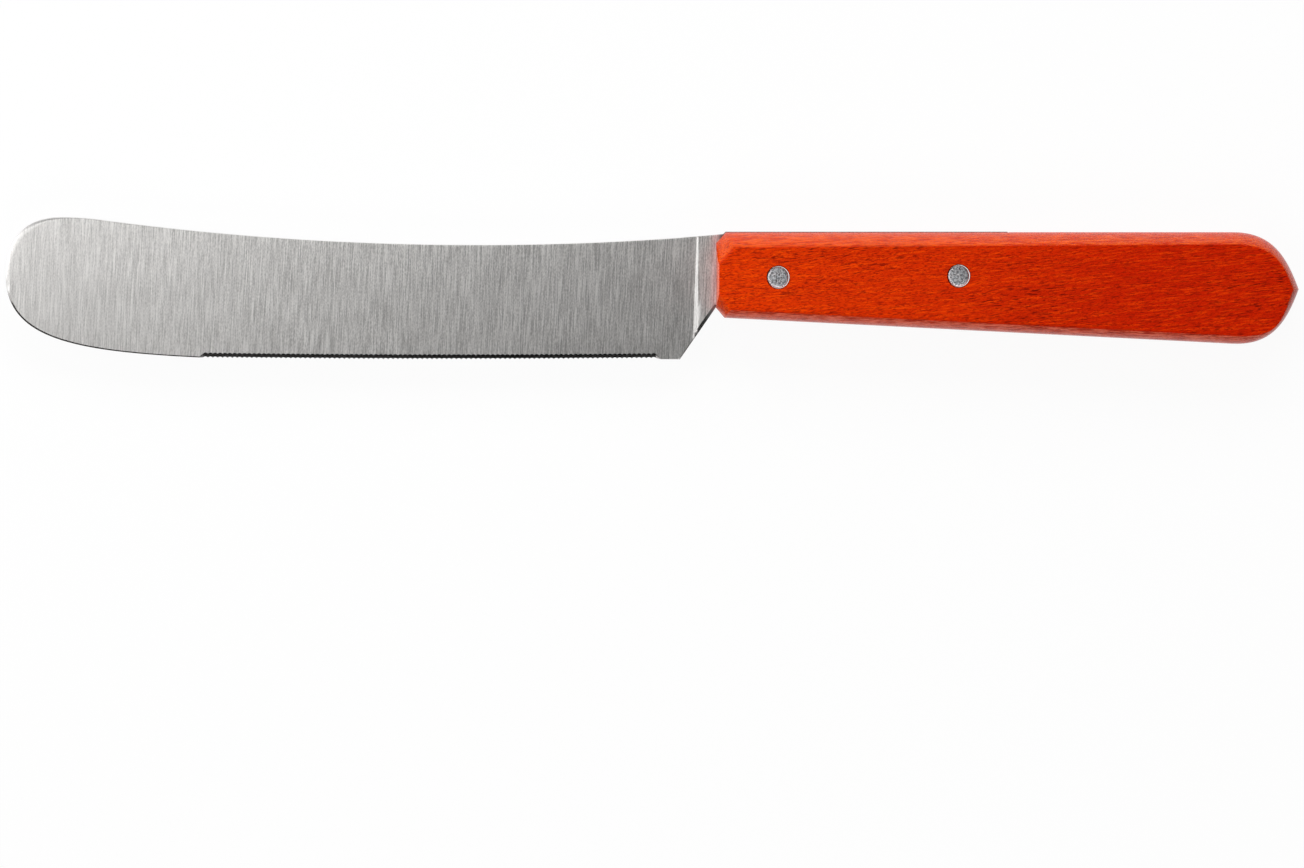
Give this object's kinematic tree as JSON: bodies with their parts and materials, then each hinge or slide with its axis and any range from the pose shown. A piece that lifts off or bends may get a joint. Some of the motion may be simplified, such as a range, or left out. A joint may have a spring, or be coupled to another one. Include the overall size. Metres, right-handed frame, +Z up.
{
  "type": "breakfast knife",
  "caption": "Breakfast knife with a round-tipped, finely toothed stainless steel blade, whose tang is riveted into a slotted handle of red-orange stained beech.",
  "frame": {"origin": "under the middle of the knife's bounding box, on the surface that it lies on", "axes": "+X from the tip of the blade to the butt of the handle, +Y from the cutting edge to the back of the blade, +Z up through the thickness"},
  "size_m": [0.216, 0.0238, 0.012],
  "materials": {
    "steel": "brushed",
    "wood": "stained, satin varnish",
    "aluminium": "sanded flush with the wood"
  },
  "bodies": {
    "root": {"blade": "steel", "handle": "wood", "rivet_front": "aluminium", "rivet_rear": "aluminium"}
  },
  "joints": []
}
